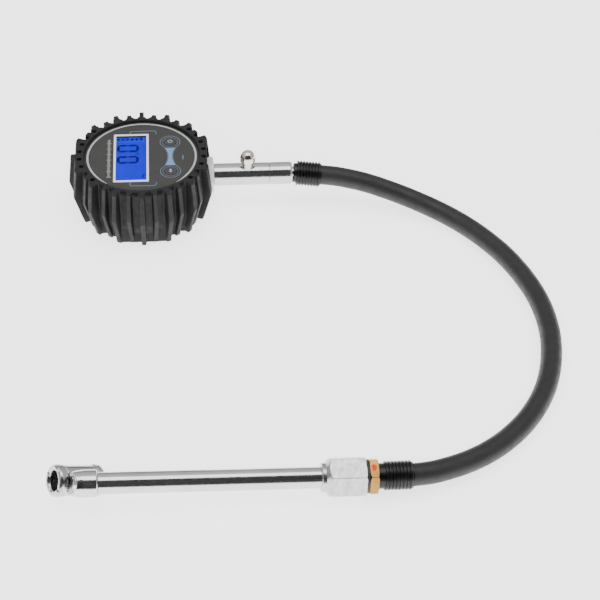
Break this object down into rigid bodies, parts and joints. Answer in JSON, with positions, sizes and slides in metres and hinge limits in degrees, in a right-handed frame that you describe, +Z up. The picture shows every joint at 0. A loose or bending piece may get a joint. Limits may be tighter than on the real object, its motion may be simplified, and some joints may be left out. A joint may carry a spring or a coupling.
{
  "type": "tire pressure gauge",
  "caption": "Digital tire pressure gauge in a lugged rubber boot, with bleed button, rubber hose and a chromed wand ending in a dual-foot air chuck.",
  "frame": {"origin": "centre of the gauge's back, on the table it lies on", "axes": "+X along the stem away from the gauge, +Y away from the wand across the table, +Z up out of the dial"},
  "size_m": [0.2596, 0.2695, 0.036],
  "materials": {
    "boot_rubber": "matt moulded rubber",
    "case_plastic": "fine spark-eroded plastic",
    "dial_sheet": "matt printed sheet",
    "window_clear": "clear glossy window",
    "lcd": "blue backlit display",
    "light_guide": "glossy light guide",
    "zebra": "striped elastomer strip",
    "board": "green solder mask",
    "switch_body": "moulded plastic",
    "plunger_plastic": "moulded plastic",
    "key_rubber": "soft matt key",
    "screw_steel": "zinc plated",
    "cell": "glossy printed sleeve",
    "spring_steel": "nickel plated strip",
    "sensor_metal": "turned steel",
    "seal_rubber": "smooth black rubber",
    "port_metal": "nickel plated",
    "chrome": "polished chrome",
    "button_metal": "polished nickel",
    "ferrule_black": "black satin",
    "hose_rubber": "matt extruded rubber",
    "brass": "turned brass",
    "washer_dark": "dark coated"
  },
  "bodies": {
    "gauge": {"rubber_boot": "boot_rubber", "rear_case": "case_plastic", "front_case": "case_plastic", "dial_overlay": "dial_sheet", "display_window": "window_clear", "lcd_glass": "lcd", "backlight": "light_guide", "display_connector": "zebra", "circuit_board": "board", "tact_switches": "switch_body", "board_screws": "screw_steel", "case_screws": "screw_steel", "battery_cells": "cell", "battery_contacts": "spring_steel", "battery_door": "case_plastic", "pressure_sensor": "sensor_metal", "sensor_oring": "seal_rubber", "port_nut": "port_metal", "port_fitting": "port_metal", "valve_body": "chrome", "bleed_spring": "spring_steel", "hose_coupling": "chrome", "upper_ferrule": "ferrule_black", "hose": "hose_rubber", "lower_ferrule": "ferrule_black", "barb_fitting": "brass", "fitting_washer": "washer_dark", "union_gasket": "seal_rubber", "union_nut": "chrome", "wand_tube": "chrome", "chuck_body": "chrome", "front_cap": "chrome", "rear_cap": "chrome", "front_seal": "seal_rubber", "rear_seal": "seal_rubber", "front_spring": "spring_steel", "rear_spring": "spring_steel"},
    "bleed_button": {"bleed_button": "button_metal", "bleed_pin": "port_metal", "bleed_seal": "seal_rubber"},
    "power_key": {"power_key": "key_rubber", "power_plunger": "plunger_plastic"},
    "unit_key": {"unit_key": "key_rubber", "unit_plunger": "plunger_plastic"},
    "front_plunger": {"front_plunger": "brass"},
    "rear_plunger": {"rear_plunger": "brass"}
  },
  "joints": [
    {"name": "bleed_slide", "type": "slide", "parent": "gauge", "child": "bleed_button", "axis": [0, 0, -1], "range_m": [0, 0.0015], "stiffness_N_per_m": 900, "springref_m": -0.002, "deforming": ["bleed_spring"]},
    {"name": "power_press", "type": "slide", "parent": "gauge", "child": "power_key", "axis": [0, 0, -1], "range_m": [0, 0.0004], "stiffness_N_per_m": 1500, "springref_m": -0.0006},
    {"name": "unit_press", "type": "slide", "parent": "gauge", "child": "unit_key", "axis": [0, 0, -1], "range_m": [0, 0.0004], "stiffness_N_per_m": 1500, "springref_m": -0.0006},
    {"name": "front_push", "type": "slide", "parent": "gauge", "child": "front_plunger", "axis": [0.831, 0.3528, -0.43], "range_m": [0, 0.0012], "stiffness_N_per_m": 600, "springref_m": -0.002, "deforming": ["front_spring"]},
    {"name": "rear_push", "type": "slide", "parent": "gauge", "child": "rear_plunger", "axis": [-0.831, -0.3528, 0.43], "range_m": [0, 0.0012], "stiffness_N_per_m": 600, "springref_m": -0.002, "deforming": ["rear_spring"]}
  ]
}
